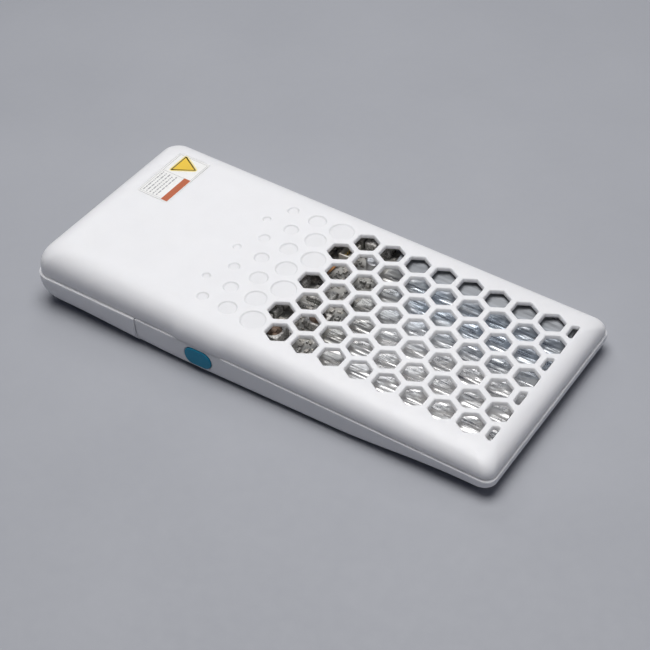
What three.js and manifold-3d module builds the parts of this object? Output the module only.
// Pocket home projector: a slim wedge-shaped white case with a honeycomb cooling grille, a sliding battery
// cover, a side power button and a laser-scanning light engine.
// Millimetres, +Z up. Origin on the table under the middle of the case. +X runs towards the grille end,
// -X towards the projection window, and the power button is on the -Y side.

import * as THREE from 'three';
import { mergeVertices } from 'three/addons/utils/BufferGeometryUtils.js';
import Module from 'manifold-3d';

const wasm = await Module();
wasm.setup();

// ---------------------------------------------------------------- driving dimensions

const CASE_LENGTH = 160;
const CASE_WIDTH = 72;
const PARTING_CORNER = { back: 5, front: 3.4 }; // corner radii seen from above, at the parting line
const FACE_CORNER = 6.2; // and at the flat top and bottom
const CORNER_STEPS = 5;
const SIDE_STEPS = 12;
const FOOT_HEIGHT = 0.6; // how far the rubber feet hold the case off the table
const TOP_MID_HEIGHT = 16.5; // top face above the table, at x = 0
const TOP_FALL = 9 / CASE_LENGTH; // the top face drops towards +X
const PARTING_MID_HEIGHT = 9;
const PARTING_FALL = 5.2 / CASE_LENGTH;
const PARTING_GAP = 0.3;

const WALL = 1.6;
const ROOF = 1.8;
const FLOOR = 1.5;
const UPPER_STEP = { back: 0.4, front: 0.7, side: 0.7 }; // how far the upper shell is set in from the cover
const LOWER_STEP = 0.3; // and the lower shell this far
const TOP_ROUNDING = { back: 7.7, front: 5.7, side: 8.1 };
const TOP_ROUNDING_SHARE = 0.88; // of the upper shell's height
const BOTTOM_ROUNDING = 5.4;
const BOTTOM_ROUNDING_SHARE = 0.85; // of the lower shell's height
const MIDDLE_TIGHTNESS = 0.62; // share of the bottom rounding that the long sides lose at their middle
const MIDDLE = { fadeStart: -76, start: -18, end: 30, fadeEnd: 68 }; // where along X they lose it
const ROUNDING_STEPS = 5;

const CELL_PITCH = 9; // honeycomb, centre to centre
const CELL_APOTHEM = 3.69;
const CELL_ROWS = 7;
const CELLS_PER_ROW = 9;
const FIRST_CELL_X = 3.6;
const GRILLE_END_X = 73.6; // straight cut through the last cells
const DIMPLE_COLUMNS = [1, 2, 3];
const DIMPLE_LARGEST_RADIUS = 3.9;
const DIMPLE_SHRINK = 1.02; // radius lost for each cell pitch away from the grille
const DIMPLE_DEPTH = 0.4;
const DIMPLE_SIDES = 12;

const COVER_SEAM_X = -40.5;
const SEAM_GAP = 0.3;
const BULKHEAD_REACH = 1.4; // the wall behind the cover's seam ends this far past it
const TONGUE = { halfWidth: 4, top: 3.4, rootX: -45.6, tipX: -36.5, ys: [-20, 20], clearance: 0.3 };
const BUTTON = { x: -17.4, z: 5.6, length: 9.6, height: 6, clearance: 0.3 };
const BUTTON_FACE_Y = -35.95;
const STEM_RISE = 0.7; // the button's stem and the switch plunger sit this far above the button's middle
const PLUNGER = { radius: 1, front: -30.5, back: -28.2, travelRoom: 1 };
const FIT = 0.05; // space under a soldered or glued piece

const LABEL = { x: -64.3, y: 16, length: 11.6, width: 22.4, recess: 0.3, thickness: 0.2, margin: 0.1 };
const WINDOW = { y: 14, width: 14, z0: 12.4, z1: 16, holeEndX: -70, paneX: -79, paneThickness: 1,
  clearance: 0.3 };
const GASKET = { x0: -77.7, x1: -76.5, halfWidth: 6.7, z0: 12.7, z1: 15.7, band: 0.7 };
const SCREW = { headRadius: 1.7, shaftRadius: 0.85, clearance: 0.35, headBottom: 1, headTop: 2, tip: 8.4 };
const BOSS_RADIUS = 2.4;
const SCREW_DRIVE = { reach: 1, halfWidth: 0.2, top: 1.4 };
const SCREW_SEAT = { radius: 3, top: 4 };
const SCREW_POINTS = [[-35.5, 30.4], [-35.5, -30.4], [68, 30.4], [68, -30.4]];
const FOOT_RADIUS = 4;
const FOOT_PLACES = {
  foot_front_left: [60, 22],
  foot_front_right: [60, -22],
  foot_rear_left: [-66, 22],
  foot_rear_right: [-66, -22],
};
const INTAKE_SLOTS = { x0: -30, x1: -10, firstY: 5, pitch: 3.6, width: 1.8, count: 5 };
const PORTS = {
  power: { x: 8, length: 9.2, z0: 4.75, z1: 8.15 },
  video: { x: 26, length: 11.4, z0: 4.75, z1: 7.75 },
};
const PORT = { gap: 0.3, wall: 0.4, face: 35, depth: 8 };
const PORT_TONGUE = { share: 0.6, back: 28.3, front: 33.6, thickness: 0.7 };
const BOARD_POSTS = [[4, 28], [4, -28], [58, 28], [58, -28]];
const SHELF = { x0: -76.4, halfWidth: 31, z0: 9.4, z1: 10 };

const ENGINE = { x0: -75.2, x1: -45, y0: 4, y1: 29, z0: 10.3, z1: 16.2, wall: 1, lid: 0.9 };
const LASER_XS = { red_laser: -49.5, green_laser: -55.5, blue_laser: -61.5 };
const LASER = { canRadius: 1.6, baseRadius: 1.9, z: 13.3, back: 27.9, front: 25.2, base: 1 };
const COLLIMATOR = { radius: 1.8, y0: 22.9, y1: 24.2 };
const BEAM_Y = 19.4;
const FOLD_X = -67.5;
const PLATE_SIZE = 3.6;
const SCAN = { x: FOLD_X, y: WINDOW.y, frame: 6, frameHeight: 3.8, hole: 3.4, mirror: 2.6, thickness: 0.8 };
const SCAN_TURN = THREE.MathUtils.degToRad(-45);
const RIBBON = { y0: 8, y1: 16, thickness: 0.3 };

const FAN = { x: -20, y: 13.6, half: 14, z0: 3, z1: 9.6, wall: 1, cover: 0.8, inletRadius: 8 };
const ROTOR = { radius: 10.4, hubRadius: 4.6, blades: 11, boreRadius: 0.9, shaftRadius: 0.6 };
const BATTERY = { x: [-73, -47], y: [-29.5, 29.5], z: [3.8, 9.1] };
const CONTACTS = { x: [-46.6, -40.8], y: [-11, -5], z: [3.8, 8.6] };
const LEAD_RADIUS = 0.9;
const SPEAKER = { x: [-32.6, -8], y: [-16.4, -3.4], z: [3, 6.8], coneRadius: 5.4, coneTop: 7.6 };
const BOARD = { bottom: 3.6, top: 4.6 };
const BOARD_OUTLINE = [
  [-31, -29.4], [-4, -29.4], [-4, -32], [63, -32], [63, -26.4], [72.6, -26.4],
  [72.6, 26.4], [63, 26.4], [63, 32], [-4, 32], [-4, -1.4], [-5.6, -1.4], [-5.6, -17.6], [-31, -17.6],
];
const SWITCH = { x: BUTTON.x, halfLength: 3, y0: -29.2, y1: -25.7, z0: BOARD.top + FIT, z1: 8.1 };
const BOARD_CHIPS = {
  processor_chip: { x: [28, 43], y: [-7.5, 7.5], top: 6.1 },
  memory_chip_a: { x: [17, 26], y: [-16, -8], top: 5.8 },
  memory_chip_b: { x: [17, 26], y: [8, 16], top: 5.8 },
};
const HEAT_SINK = { x0: 15, x1: 60, halfWidth: 21, base: 1.2, z0: 6.2, z1: 8.6, fins: 9, finWidth: 1.2 };
const FOIL = { x0: 13.6, x1: 72.6, halfWidth: 27.6, below: 3.4, thickness: 0.4 };
const DRIVER_BOARD = { x0: -5, x1: 12.4, halfWidth: 27.5, z0: 9.3, z1: 10.1 };
const DRIVER_PARTS = {
  power_coil_a: { x: [-3.4, 3], y: [-24, -17.6], top: 13.4 },
  power_coil_b: { x: [4.6, 11], y: [-13, -6.6], top: 13.2 },
  laser_driver_chip: { x: [-2, 6], y: [-3, 5], top: 11.5 },
  board_connector: { x: [-3.4, 0.4], y: [18, 25], top: 12.8 },
};
const CAPACITOR = { x: 8, y: 20.6, radius: 2.6, top: 13.2 };

const CASE_BOTTOM = FOOT_HEIGHT;
const FLOOR_TOP = CASE_BOTTOM + FLOOR;
const HALF_LENGTH = CASE_LENGTH / 2;
const HALF_WIDTH = CASE_WIDTH / 2;
const ROW_PITCH = CELL_PITCH * Math.sqrt(3) / 2;
const FAR_OUT = 120; // larger than the case, for cutting blocks

const topZ = (x) => TOP_MID_HEIGHT - TOP_FALL * x;
const partingZ = (x) => PARTING_MID_HEIGHT - PARTING_FALL * x;

// ---------------------------------------------------------------- materials

function material(color, roughness, metalness = 0) {
  return new THREE.MeshStandardMaterial({ color, roughness, metalness });
}

const MATERIALS = {
  whiteShell: material(0xefeff2, 0.45),
  tealButton: material(0x2a7f96, 0.4),
  foil: material(0xc9ccd1, 0.25, 1),
  circuitBoard: material(0x1f4a36, 0.5),
  blackPlastic: material(0x1b1c1f, 0.5),
  chip: material(0x26272a, 0.35),
  steel: material(0xa9abb0, 0.3, 1),
  aluminium: material(0xb9bcc2, 0.4, 1),
  brass: material(0xc9a85a, 0.35, 1),
  rubber: material(0x9a9ca1, 0.8),
  glass: material(0xbfd4dc, 0.05),
  batteryWrap: material(0x34506e, 0.4),
  labelFilm: material(0xf2f0ea, 0.35),
  cable: material(0x8a4a2a, 0.5),
};

// ---------------------------------------------------------------- geometry helpers

function toSolid(geometry) {
  const bare = geometry.clone();
  bare.deleteAttribute('normal');
  bare.deleteAttribute('uv');
  const merged = mergeVertices(bare, 1e-4);
  const vertProperties = new Float32Array(merged.attributes.position.array);
  const triVerts = new Uint32Array(merged.index.array);
  return new wasm.Manifold(new wasm.Mesh({ numProp: 3, vertProperties, triVerts }));
}

function toGeometry(solid) {
  const mesh = solid.getMesh();
  const geometry = new THREE.BufferGeometry();
  geometry.setAttribute('position', new THREE.BufferAttribute(new Float32Array(mesh.vertProperties), 3));
  geometry.setIndex(new THREE.BufferAttribute(new Uint32Array(mesh.triVerts), 1));
  geometry.computeVertexNormals();
  return geometry;
}

function cutAll(solid, geometries) {
  return geometries.reduce((rest, cutter) => rest.subtract(toSolid(cutter)), solid);
}

function joinAll(solid, geometries) {
  return geometries.reduce((sum, piece) => sum.add(toSolid(piece)), solid);
}

function box([x0, x1], [y0, y1], [z0, z1]) {
  const geometry = new THREE.BoxGeometry(x1 - x0, y1 - y0, z1 - z0);
  return geometry.translate((x0 + x1) / 2, (y0 + y1) / 2, (z0 + z1) / 2);
}

// A round bar standing on (x, y), from z0 to z1.
function post(x, y, radius, z0, z1, sides = 16) {
  const geometry = new THREE.CylinderGeometry(radius, radius, z1 - z0, sides);
  return geometry.rotateX(Math.PI / 2).translate(x, y, (z0 + z1) / 2);
}

// A round bar along Y at (x, z), from y0 to y1.
function crossBar(x, z, radius, y0, y1, sides = 16) {
  const geometry = new THREE.CylinderGeometry(radius, radius, y1 - y0, sides);
  return geometry.translate(x, (y0 + y1) / 2, z);
}

// A flat plate of the given plan outline, from z0 to z1.
function plate(points, z0, z1, holes = []) {
  const shape = new THREE.Shape(points.map(([x, y]) => new THREE.Vector2(x, y)));
  shape.holes = holes.map((hole) => new THREE.Path(hole.map(([x, y]) => new THREE.Vector2(x, y))));
  const geometry = new THREE.ExtrudeGeometry(shape, { depth: z1 - z0, bevelEnabled: false });
  return geometry.translate(0, 0, z0);
}

// An outline in the XZ plane, swept along Y from y0 to y1.
function profileAlongY(points, y0, y1) {
  const shape = new THREE.Shape(points.map(([x, z]) => new THREE.Vector2(x, z)));
  const geometry = new THREE.ExtrudeGeometry(shape, { depth: y1 - y0, bevelEnabled: false });
  return geometry.rotateX(Math.PI / 2).translate(0, y1, 0);
}

// An oval with straight top and bottom, standing in the XZ plane, swept along Y from y0 to y1.
function ovalAlongY(x, z, length, height, y0, y1) {
  const points = [];
  const radius = height / 2;
  const reach = length / 2 - radius;
  const steps = 6;
  for (const side of [1, -1]) {
    for (let k = 0; k <= steps; k += 1) {
      const angle = -Math.PI / 2 + Math.PI * k / steps;
      points.push([x + side * (reach + radius * Math.cos(angle)), z + side * radius * Math.sin(angle)]);
    }
  }
  return profileAlongY(points, y0, y1);
}

// The case seen from above, with each side moved in by its own inset and the long sides subdivided.
function caseOutline({ back, front, side }, radius) {
  const edgeY = HALF_WIDTH - side;
  const backX = -HALF_LENGTH + back + radius.back;
  const frontX = HALF_LENGTH - front - radius.front;
  const corner = (cx, cy, r, start) => Array.from({ length: CORNER_STEPS + 1 }, (_, k) => {
    const angle = THREE.MathUtils.degToRad(start + 90 * k / CORNER_STEPS);
    return [cx + r * Math.cos(angle), cy + r * Math.sin(angle)];
  });
  const longSide = (x0, x1, y) => Array.from({ length: SIDE_STEPS - 1 }, (_, k) => {
    return [x0 + (x1 - x0) * (k + 1) / SIDE_STEPS, y];
  });
  return [
    ...longSide(backX, frontX, -edgeY),
    ...corner(frontX, -edgeY + radius.front, radius.front, -90),
    ...corner(frontX, edgeY - radius.front, radius.front, 0),
    ...longSide(frontX, backX, edgeY),
    ...corner(backX, edgeY - radius.back, radius.back, 90),
    ...corner(backX, -edgeY + radius.back, radius.back, 180),
  ];
}

const evenInset = (inset) => ({ back: inset, front: inset, side: inset });

// A level of the case: its outline, with the long sides moved out by bulge(x), at the height heightAt(x).
function ring(insets, inward, heightAt, bulge = () => 0) {
  const radius = {
    back: THREE.MathUtils.lerp(PARTING_CORNER.back, FACE_CORNER, inward),
    front: THREE.MathUtils.lerp(PARTING_CORNER.front, FACE_CORNER, inward),
  };
  return caseOutline(insets, radius)
    .map(([x, y]) => new THREE.Vector3(x, y + Math.sign(y) * bulge(x), heightAt(x)));
}

// A closed solid through rings of equal point count, listed from the bottom up.
function loft(rings) {
  const count = rings[0].length;
  const index = [];
  for (let level = 0; level < rings.length - 1; level += 1) {
    for (let k = 0; k < count; k += 1) {
      const next = (k + 1) % count;
      const [a, b] = [level * count + k, level * count + next];
      index.push(a, b, b + count, a, b + count, a + count);
    }
  }
  const lastLevel = (rings.length - 1) * count;
  const middles = [rings[0], rings.at(-1)].map((points) => {
    return points.reduce((sum, point) => sum.add(point), new THREE.Vector3()).divideScalar(count);
  });
  const [bottomMiddle, topMiddle] = [count * rings.length, count * rings.length + 1];
  for (let k = 0; k < count; k += 1) {
    const next = (k + 1) % count;
    index.push(bottomMiddle, next, k, topMiddle, lastLevel + k, lastLevel + next);
  }
  const geometry = new THREE.BufferGeometry().setFromPoints([...rings.flat(), ...middles]);
  geometry.setIndex(index);
  return geometry;
}

const quarterSteps = Array.from({ length: ROUNDING_STEPS + 1 }, (_, k) => Math.PI / 2 * k / ROUNDING_STEPS);

// ---------------------------------------------------------------- case shells

// Upper shell's outer form, or its hollow when wall and roof are given.
function upperForm(wall, roof, startZ) {
  const shoulderZ = (x) => topZ(x) - TOP_ROUNDING_SHARE * (topZ(x) - partingZ(x));
  const insetsAt = (inward) => Object.fromEntries(['back', 'front', 'side'].map((side) => {
    return [side, UPPER_STEP[side] + wall + (TOP_ROUNDING[side] - wall / 2) * inward];
  }));
  const rings = [ring(insetsAt(0), 0, startZ)];
  for (const angle of quarterSteps) {
    const inward = 1 - Math.cos(angle);
    const upward = Math.sin(angle);
    const heightAt = (x) => shoulderZ(x) + (topZ(x) - roof - shoulderZ(x)) * upward;
    rings.push(ring(insetsAt(inward), inward, heightAt));
  }
  return loft(rings);
}

// Share of the bottom rounding that the long sides keep at x: all of it at the ends, less along the middle.
function roundingShare(x) {
  const { fadeStart, start, end, fadeEnd } = MIDDLE;
  const away = x < start ? (start - x) / (start - fadeStart) : (x - end) / (fadeEnd - end);
  return 1 - MIDDLE_TIGHTNESS * THREE.MathUtils.smoothstep(1 - THREE.MathUtils.clamp(away, 0, 1), 0, 1);
}

// Outer form of the lower shell or battery cover, set in by its step,
// or its hollow when wall and floor are given.
function lowerForm(step, wall, floor, endZ) {
  const bottom = CASE_BOTTOM + floor;
  const shoulderZ = (x) => {
    const rise = BOTTOM_ROUNDING_SHARE * roundingShare(x) * (partingZ(x) - CASE_BOTTOM);
    return CASE_BOTTOM + rise + floor * (1 - roundingShare(x));
  };
  const rings = quarterSteps.toReversed().map((angle) => {
    const inward = 1 - Math.cos(angle);
    const insets = evenInset(step + wall + (BOTTOM_ROUNDING - wall / 2) * inward);
    const heightAt = (x) => bottom + (shoulderZ(x) - bottom) * (1 - Math.sin(angle));
    return ring(insets, inward, heightAt, (x) => BOTTOM_ROUNDING * (1 - roundingShare(x)) * inward);
  });
  rings.push(ring(evenInset(step + wall), 0, endZ));
  return loft(rings);
}

function clipAtX(points, limit) {
  return points.flatMap((point, k) => {
    const next = points[(k + 1) % points.length];
    const kept = point[0] <= limit ? [point] : [];
    if ((point[0] - limit) * (next[0] - limit) < 0) {
      const share = (limit - point[0]) / (next[0] - point[0]);
      kept.push([limit, point[1] + share * (next[1] - point[1])]);
    }
    return kept;
  });
}

const rowY = (row) => ((CELL_ROWS - 1) / 2 - row) * ROW_PITCH;
const rowShift = (row) => (row % 2 === 1 ? -CELL_PITCH / 2 : 0);

function honeycombCells() {
  const cells = [];
  const circumradius = CELL_APOTHEM / Math.cos(Math.PI / 6);
  for (let row = 0; row < CELL_ROWS; row += 1) {
    for (let k = 0; k < CELLS_PER_ROW; k += 1) {
      const centre = [FIRST_CELL_X + rowShift(row) + CELL_PITCH * k, rowY(row)];
      const hexagon = Array.from({ length: 6 }, (_, corner) => {
        const angle = Math.PI / 6 + Math.PI / 3 * corner;
        return [centre[0] + circumradius * Math.cos(angle), centre[1] + circumradius * Math.sin(angle)];
      });
      cells.push(plate(clipAtX(hexagon, GRILLE_END_X), partingZ(GRILLE_END_X), topZ(-HALF_LENGTH) + 1));
    }
  }
  return cells;
}

function onTopFace(geometry, x, y) {
  return geometry.rotateY(Math.atan(TOP_FALL)).translate(x, y, topZ(x));
}

function dimples() {
  const cutters = [];
  for (let row = 0; row < CELL_ROWS; row += 1) {
    for (const column of DIMPLE_COLUMNS) {
      const x = FIRST_CELL_X + rowShift(row) - CELL_PITCH * column;
      const away = (FIRST_CELL_X - x) / CELL_PITCH - 1;
      const radius = DIMPLE_LARGEST_RADIUS - DIMPLE_SHRINK * away;
      cutters.push(onTopFace(post(0, 0, radius, -DIMPLE_DEPTH, 1, DIMPLE_SIDES), x, rowY(row)));
    }
  }
  return cutters;
}

function topShell() {
  const outer = toSolid(upperForm(0, 0, (x) => partingZ(x) + PARTING_GAP));
  const hollow = toSolid(upperForm(WALL, ROOF, (x) => partingZ(x) - 1));
  const bosses = SCREW_POINTS.map(([x, y]) => post(x, y, BOSS_RADIUS, SCREW_SEAT.top + 0.3, topZ(x)));
  const downToTable = toSolid(upperForm(0, 0, () => 0));
  let shell = outer.subtract(hollow).add(joinAll(toSolid(bosses[0]), bosses.slice(1)).intersect(downToTable));
  const boreRadius = SCREW.shaftRadius + SCREW.clearance;
  shell = cutAll(shell, SCREW_POINTS.map(([x, y]) => post(x, y, boreRadius, 0, SCREW.tip + 0.4)));
  shell = cutAll(shell, honeycombCells());
  shell = cutAll(shell, dimples());
  const recessX = LABEL.length / 2 + LABEL.margin;
  const recessY = LABEL.width / 2 + LABEL.margin;
  const recess = box([-recessX, recessX], [-recessY, recessY], [-LABEL.recess, 2]);
  const windowY = [WINDOW.y - WINDOW.width / 2, WINDOW.y + WINDOW.width / 2];
  const windowHole = box([-FAR_OUT, WINDOW.holeEndX], windowY, [WINDOW.z0, WINDOW.z1]);
  return cutAll(shell, [onTopFace(recess, LABEL.x, LABEL.y), windowHole]);
}

function bottomShell() {
  const lowerOuter = toSolid(lowerForm(LOWER_STEP, 0, 0, partingZ));
  const hollow = toSolid(lowerForm(LOWER_STEP, WALL, FLOOR, (x) => partingZ(x) + 2));
  const startX = COVER_SEAM_X + SEAM_GAP / 2;
  const behindSeam = toSolid(box([-FAR_OUT, startX], [-FAR_OUT, FAR_OUT], [-FAR_OUT, FAR_OUT]));
  const bulkheadBox = box([startX, COVER_SEAM_X + BULKHEAD_REACH], [-FAR_OUT, FAR_OUT], [0, SHELF.z1]);
  const bulkhead = toSolid(bulkheadBox).intersect(lowerOuter);
  let shell = lowerOuter.subtract(hollow).subtract(behindSeam).add(bulkhead);
  shell = joinAll(shell, [
    box([SHELF.x0, COVER_SEAM_X + 1], [-SHELF.halfWidth, SHELF.halfWidth], [SHELF.z0, SHELF.z1]),
    ...SCREW_POINTS.map(([x, y]) => post(x, y, SCREW_SEAT.radius, FLOOR_TOP - 0.5, SCREW_SEAT.top)),
    ...BOARD_POSTS.map(([x, y]) => post(x, y, 2, FLOOR_TOP - 0.5, BOARD.bottom - 0.1)),
  ]);
  const slotReach = TONGUE.halfWidth + TONGUE.clearance;
  const slotTop = TONGUE.top + TONGUE.clearance;
  const tongueSlots = TONGUE.ys.map((y) => (
    box([COVER_SEAM_X - 1, COVER_SEAM_X + 2], [y - slotReach, y + slotReach], [FLOOR_TOP, slotTop])));
  const slots = Array.from({ length: INTAKE_SLOTS.count }, (_, k) => {
    const y = INTAKE_SLOTS.firstY + INTAKE_SLOTS.pitch * k;
    const half = INTAKE_SLOTS.width / 2;
    return box([INTAKE_SLOTS.x0, INTAKE_SLOTS.x1], [y - half, y + half], [0, FLOOR_TOP + 1]);
  });
  const portHoles = Object.values(PORTS).map((port) => {
    const reach = port.length / 2 + PORT.gap;
    return box([port.x - reach, port.x + reach], [30, FAR_OUT], [port.z0 - PORT.gap, port.z1 + PORT.gap]);
  });
  return cutAll(shell, [
    ...SCREW_POINTS.map(([x, y]) => post(x, y, SCREW.headRadius + SCREW.clearance, 0, SCREW.headTop + 0.2)),
    ...SCREW_POINTS.map(([x, y]) => post(x, y, SCREW.shaftRadius + SCREW.clearance, 0, SCREW_SEAT.top + 1)),
    ...tongueSlots,
    ...slots,
    ...portHoles,
    ovalAlongY(BUTTON.x, BUTTON.z, BUTTON.length + 2 * BUTTON.clearance, BUTTON.height + 2 * BUTTON.clearance,
      -FAR_OUT, -30),
  ]);
}

// Slides off towards -X: its side walls and floor close the battery bay,
// and two tongues hook over the shell's floor.
function batteryCover() {
  const outer = toSolid(lowerForm(0, 0, 0, partingZ));
  const hollow = toSolid(lowerForm(0, WALL, FLOOR, (x) => partingZ(x) + 2));
  const endX = COVER_SEAM_X - SEAM_GAP / 2;
  const beyondSeam = toSolid(box([endX, FAR_OUT], [-FAR_OUT, FAR_OUT], [-FAR_OUT, FAR_OUT]));
  const cover = outer.subtract(hollow).subtract(beyondSeam);
  const tongues = TONGUE.ys.map((y) => profileAlongY([
    [TONGUE.rootX, FLOOR_TOP - 0.4],
    [endX, FLOOR_TOP - 0.4],
    [endX, FLOOR_TOP + 0.3],
    [TONGUE.tipX, FLOOR_TOP + 0.3],
    [TONGUE.tipX, TONGUE.top - 0.3],
    [TONGUE.tipX - 0.6, TONGUE.top],
    [TONGUE.rootX, TONGUE.top],
  ], y - TONGUE.halfWidth, y + TONGUE.halfWidth));
  return joinAll(cover, tongues);
}

// ---------------------------------------------------------------- light engine

function engineHousing() {
  const { x0, x1, y0, y1, z0, z1, wall } = ENGINE;
  const outer = toSolid(box([x0, x1], [y0, y1], [z0, z1 - ENGINE.lid - 0.1]));
  return cutAll(outer, [
    box([x0 + wall, x1 - wall], [y0 + wall, y1 - wall], [z0 + wall, z1 + 1]),
    box([x0 - 1, x0 + wall + 1], [WINDOW.y - 6, WINDOW.y + 6], [z0 + 2, z1 + 1]),
  ]);
}

function windowGasket() {
  const { x0, x1, halfWidth, z0, z1, band } = GASKET;
  const outer = toSolid(box([x0, x1], [WINDOW.y - halfWidth, WINDOW.y + halfWidth], [z0, z1]));
  const openHalf = halfWidth - band;
  const opening = box([x0 - 1, x1 + 1], [WINDOW.y - openHalf, WINDOW.y + openHalf], [z0 + band, z1 - band]);
  return cutAll(outer, [opening]);
}

function laserDiode(x) {
  const can = toSolid(crossBar(x, LASER.z, LASER.canRadius, LASER.front, LASER.back - LASER.base));
  const base = crossBar(x, LASER.z, LASER.baseRadius, LASER.back - LASER.base - 0.2, LASER.back);
  return joinAll(can, [base]);
}

// A thin optical plate standing on edge, turned about the vertical.
function tiltedPlate(x, y, size, thickness, degrees) {
  const geometry = new THREE.BoxGeometry(size, thickness, size);
  return geometry.rotateZ(THREE.MathUtils.degToRad(degrees)).translate(x, y, LASER.z);
}

function scanFrame() {
  const outer = toSolid(new THREE.BoxGeometry(SCAN.frame, SCAN.thickness, SCAN.frameHeight));
  const hole = new THREE.BoxGeometry(SCAN.hole, SCAN.thickness * 3, SCAN.hole - 0.4);
  return toGeometry(cutAll(outer, [hole])).rotateZ(SCAN_TURN).translate(SCAN.x, SCAN.y, LASER.z);
}

function scanMirror() {
  const geometry = new THREE.CylinderGeometry(SCAN.mirror / 2, SCAN.mirror / 2, 0.4, 16);
  return geometry.rotateZ(SCAN_TURN).translate(SCAN.x, SCAN.y, LASER.z);
}

// ---------------------------------------------------------------- cooling fan

function fanHousing() {
  const { x, y, half, z0, z1, wall } = FAN;
  const outer = toSolid(box([x - half, x + half], [y - half, y + half], [z0, z1 - FAN.cover - 0.1]));
  const hub = toSolid(post(x, y, 1.6, z0, z0 + 1.6));
  const chamber = cutAll(outer, [
    box([x - half + wall, x + half - wall], [y - half + wall, y + half - wall], [z0 + wall, z1 + 1]),
    box([x + half - wall - 1, x + half + 1], [y - half + 5, y + half - wall], [z0 + wall, z1 + 1]),
    post(x, y, FAN.inletRadius, z0 - 1, z0 + 2, 24),
  ]);
  const spokes = [0, 60, 120].map((degrees) => {
    const spoke = new THREE.BoxGeometry(18, 1.4, wall);
    return spoke.rotateZ(THREE.MathUtils.degToRad(degrees + 15)).translate(x, y, z0 + wall / 2);
  });
  return joinAll(chamber.add(hub), spokes);
}

function fanRotor() {
  const { x, y, z0, z1 } = FAN;
  const { radius, hubRadius, blades, boreRadius } = ROTOR;
  const bottom = z0 + 2;
  const top = z1 - 1.4;
  const hub = toSolid(post(x, y, hubRadius, bottom, top, 20));
  const disc = post(x, y, radius - 0.6, top - 0.8, top, 24);
  const vanes = Array.from({ length: blades }, (_, k) => {
    const vane = new THREE.BoxGeometry(radius - hubRadius + 0.8, 0.6, top - bottom);
    vane.rotateZ(0.5).translate((radius + hubRadius) / 2 - 0.8, 0, 0);
    return vane.rotateZ(2 * Math.PI * k / blades).translate(x, y, (bottom + top) / 2);
  });
  return cutAll(joinAll(hub, [disc, ...vanes]), [post(x, y, boreRadius, bottom - 1, top + 1, 12)]);
}

// ---------------------------------------------------------------- electronics

function heatSink() {
  const { x0, x1, halfWidth, base, z0, z1, fins, finWidth } = HEAT_SINK;
  const pitch = (2 * halfWidth - finWidth) / (fins - 1);
  const ribs = Array.from({ length: fins }, (_, k) => {
    const y = -halfWidth + finWidth / 2 + pitch * k;
    return box([x0, x1], [y - finWidth / 2, y + finWidth / 2], [z0 + base - 0.2, z1]);
  });
  return joinAll(toSolid(box([x0, x1], [-halfWidth, halfWidth], [z0, z0 + base])), ribs);
}

function foilShield() {
  const top = (x) => topZ(x) - FOIL.below;
  return profileAlongY([
    [FOIL.x0, top(FOIL.x0) - FOIL.thickness], [FOIL.x1, top(FOIL.x1) - FOIL.thickness],
    [FOIL.x1, top(FOIL.x1)], [FOIL.x0, top(FOIL.x0)],
  ], -FOIL.halfWidth, FOIL.halfWidth);
}

function portShell(port) {
  const half = port.length / 2;
  const inside = half - PORT.wall;
  const back = PORT.face - PORT.depth;
  const outer = toSolid(box([port.x - half, port.x + half], [back, PORT.face], [port.z0, port.z1]));
  return cutAll(outer, [box([port.x - inside, port.x + inside], [back + 1, PORT.face + 1],
    [port.z0 + PORT.wall, port.z1 - PORT.wall])]);
}

function portTongue(port) {
  const half = port.length * PORT_TONGUE.share / 2;
  const middle = (port.z0 + port.z1) / 2;
  const rise = PORT_TONGUE.thickness / 2;
  const across = [port.x - half, port.x + half];
  return box(across, [PORT_TONGUE.back, PORT_TONGUE.front], [middle - rise, middle + rise]);
}

function tactSwitch() {
  const { x, halfLength, y0, y1, z0, z1 } = SWITCH;
  const boreEnd = PLUNGER.back + PLUNGER.travelRoom;
  const bore = crossBar(x, BUTTON.z + STEM_RISE, PLUNGER.radius + 0.3, y0 - 1, boreEnd);
  return cutAll(toSolid(box([x - halfLength, x + halfLength], [y0, y1], [z0, z1])), [bore]);
}

// A cap with a flange that keeps it behind the wall, and a stem that meets the switch plunger.
function powerButton() {
  const { x, z, length, height } = BUTTON;
  const face = BUTTON_FACE_Y;
  const cap = toSolid(ovalAlongY(x, z, length, height, face + 0.45, face + 4.15));
  return joinAll(cap, [
    ovalAlongY(x, z, length - 1, height - 1, face + 0.15, face + 1),
    ovalAlongY(x, z, length - 2.4, height - 2.4, face, face + 1),
    ovalAlongY(x, z + STEM_RISE, length + 1.6, height + 0.6, face + 3.55, face + 4.15),
    crossBar(x, z + STEM_RISE, 1.2, face + 3.75, PLUNGER.front - 0.3),
  ]);
}

function ribbonCable() {
  const points = [[-44.7, 12.6], [-42, 12.9], [-38, 13], [-20, 12.4], [-8, 11.2], [-5.4, 10.9], [-2, 10.7]];
  const upper = points.map(([x, z]) => [x, z + RIBBON.thickness]).reverse();
  return profileAlongY([...points, ...upper], RIBBON.y0, RIBBON.y1);
}

function batteryLead() {
  const route = new THREE.CatmullRomCurve3([
    new THREE.Vector3(-38.6, -8, 6), new THREE.Vector3(-36, -8, 6.4), new THREE.Vector3(-34.6, -13, 7),
    new THREE.Vector3(-33, -19, 6.8), new THREE.Vector3(-29.5, -20.5, 6.6),
  ]);
  const section = new THREE.Shape(Array.from({ length: 8 }, (_, k) => {
    const angle = 2 * Math.PI * k / 8;
    return new THREE.Vector2(LEAD_RADIUS * Math.cos(angle), LEAD_RADIUS * Math.sin(angle));
  }));
  return new THREE.ExtrudeGeometry(section, { steps: 12, extrudePath: route, bevelEnabled: false });
}

// ---------------------------------------------------------------- assembly

const projector = new THREE.Group();

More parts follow.
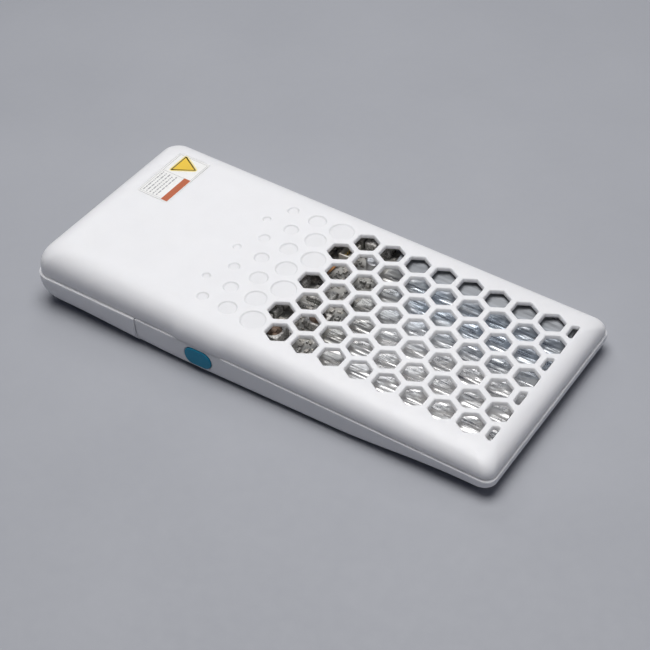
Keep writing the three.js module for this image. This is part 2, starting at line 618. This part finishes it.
function add(name, shape, surface) {
  const geometry = shape.isBufferGeometry ? shape : toGeometry(shape);
  const mesh = new THREE.Mesh(geometry, surface);
  mesh.name = name;
  projector.add(mesh);
}

add('top_shell', topShell(), MATERIALS.whiteShell);
add('bottom_shell', bottomShell(), MATERIALS.whiteShell);
add('battery_cover', batteryCover(), MATERIALS.whiteShell);
add('power_button', powerButton(), MATERIALS.tealButton);
const labelSheet = box([-LABEL.length / 2, LABEL.length / 2], [-LABEL.width / 2, LABEL.width / 2],
  [FIT - LABEL.recess, FIT - LABEL.recess + LABEL.thickness]);
add('warning_label', onTopFace(labelSheet, LABEL.x, LABEL.y), MATERIALS.labelFilm);

for (const [name, [x, y]] of Object.entries(FOOT_PLACES)) {
  add(name, post(x, y, FOOT_RADIUS, 0, FOOT_HEIGHT - FIT, 20), MATERIALS.rubber);
}

SCREW_POINTS.forEach(([x, y], k) => {
  const head = toSolid(post(x, y, SCREW.headRadius, SCREW.headBottom, SCREW.headTop));
  const screw = joinAll(head, [post(x, y, SCREW.shaftRadius, SCREW.headTop - 0.2, SCREW.tip, 12)]);
  const { reach, halfWidth, top } = SCREW_DRIVE;
  const drive = [[reach, halfWidth], [halfWidth, reach]].map(([dx, dy]) => (
    box([x - dx, x + dx], [y - dy, y + dy], [0, top])));
  add(`case_screw_${k + 1}`, cutAll(screw, drive), MATERIALS.steel);
});

const paneHalf = WINDOW.width / 2 - WINDOW.clearance;
add('projection_window', box([WINDOW.paneX, WINDOW.paneX + WINDOW.paneThickness],
  [WINDOW.y - paneHalf, WINDOW.y + paneHalf],
  [WINDOW.z0 + WINDOW.clearance, WINDOW.z1 - WINDOW.clearance]), MATERIALS.glass);
add('window_gasket', windowGasket(), MATERIALS.blackPlastic);

add('light_engine_housing', engineHousing(), MATERIALS.aluminium);
add('light_engine_lid', box([ENGINE.x0, ENGINE.x1], [ENGINE.y0, ENGINE.y1],
  [ENGINE.z1 - ENGINE.lid, ENGINE.z1]), MATERIALS.aluminium);
for (const [name, x] of Object.entries(LASER_XS)) {
  add(`${name}_diode`, laserDiode(x), MATERIALS.brass);
  add(`${name}_collimator`, crossBar(x, LASER.z, COLLIMATOR.radius, COLLIMATOR.y0, COLLIMATOR.y1, 20),
    MATERIALS.glass);
  add(`${name}_combiner`, tiltedPlate(x, BEAM_Y, PLATE_SIZE, 0.5, 45), MATERIALS.glass);
}
add('fold_mirror', tiltedPlate(FOLD_X, BEAM_Y, PLATE_SIZE, 0.6, 135), MATERIALS.steel);
add('scan_mirror_frame', scanFrame(), MATERIALS.chip);
add('scan_mirror', scanMirror(), MATERIALS.steel);
add('ribbon_cable', ribbonCable(), MATERIALS.cable);

add('battery_cell', box(BATTERY.x, BATTERY.y, BATTERY.z), MATERIALS.batteryWrap);
add('battery_contacts', box(CONTACTS.x, CONTACTS.y, CONTACTS.z), MATERIALS.brass);
add('battery_lead', batteryLead(), MATERIALS.cable);

add('fan_housing', fanHousing(), MATERIALS.blackPlastic);
add('fan_cover', box([FAN.x - FAN.half, FAN.x + FAN.half], [FAN.y - FAN.half, FAN.y + FAN.half],
  [FAN.z1 - FAN.cover, FAN.z1]), MATERIALS.steel);
add('fan_rotor', fanRotor(), MATERIALS.blackPlastic);
add('fan_shaft', post(FAN.x, FAN.y, ROTOR.shaftRadius, FAN.z0 + 1.7, FAN.z1 - 1, 12), MATERIALS.steel);

add('main_board', plate(BOARD_OUTLINE, BOARD.bottom, BOARD.top), MATERIALS.circuitBoard);
for (const [name, { x, y, top }] of Object.entries(BOARD_CHIPS)) {
  add(name, box(x, y, [BOARD.top + FIT, top]), MATERIALS.chip);
}
add('heat_sink', heatSink(), MATERIALS.aluminium);
add('foil_heat_shield', foilShield(), MATERIALS.foil);
add('driver_board', box([DRIVER_BOARD.x0, DRIVER_BOARD.x1], [-DRIVER_BOARD.halfWidth, DRIVER_BOARD.halfWidth],
  [DRIVER_BOARD.z0, DRIVER_BOARD.z1]), MATERIALS.circuitBoard);
const driverTop = DRIVER_BOARD.z1 + FIT;
for (const [name, { x, y, top }] of Object.entries(DRIVER_PARTS)) {
  const material = name === 'board_connector' ? MATERIALS.blackPlastic : MATERIALS.chip;
  add(name, box(x, y, [driverTop, top]), material);
}
add('storage_capacitor', post(CAPACITOR.x, CAPACITOR.y, CAPACITOR.radius, driverTop, CAPACITOR.top, 20),
  MATERIALS.aluminium);

add('tact_switch', tactSwitch(), MATERIALS.blackPlastic);
add('switch_plunger', crossBar(SWITCH.x, BUTTON.z + STEM_RISE, PLUNGER.radius, PLUNGER.front, PLUNGER.back),
  MATERIALS.steel);
for (const [name, port] of Object.entries(PORTS)) {
  add(`${name}_port_shell`, portShell(port), MATERIALS.steel);
  add(`${name}_port_tongue`, portTongue(port), MATERIALS.blackPlastic);
}
add('speaker_housing', box(SPEAKER.x, SPEAKER.y, SPEAKER.z), MATERIALS.blackPlastic);
const middle = ([low, high]) => (low + high) / 2;
add('speaker_cone', post(middle(SPEAKER.x), middle(SPEAKER.y), SPEAKER.coneRadius, SPEAKER.z[1] + FIT,
  SPEAKER.coneTop, 24), MATERIALS.rubber);

export default projector;
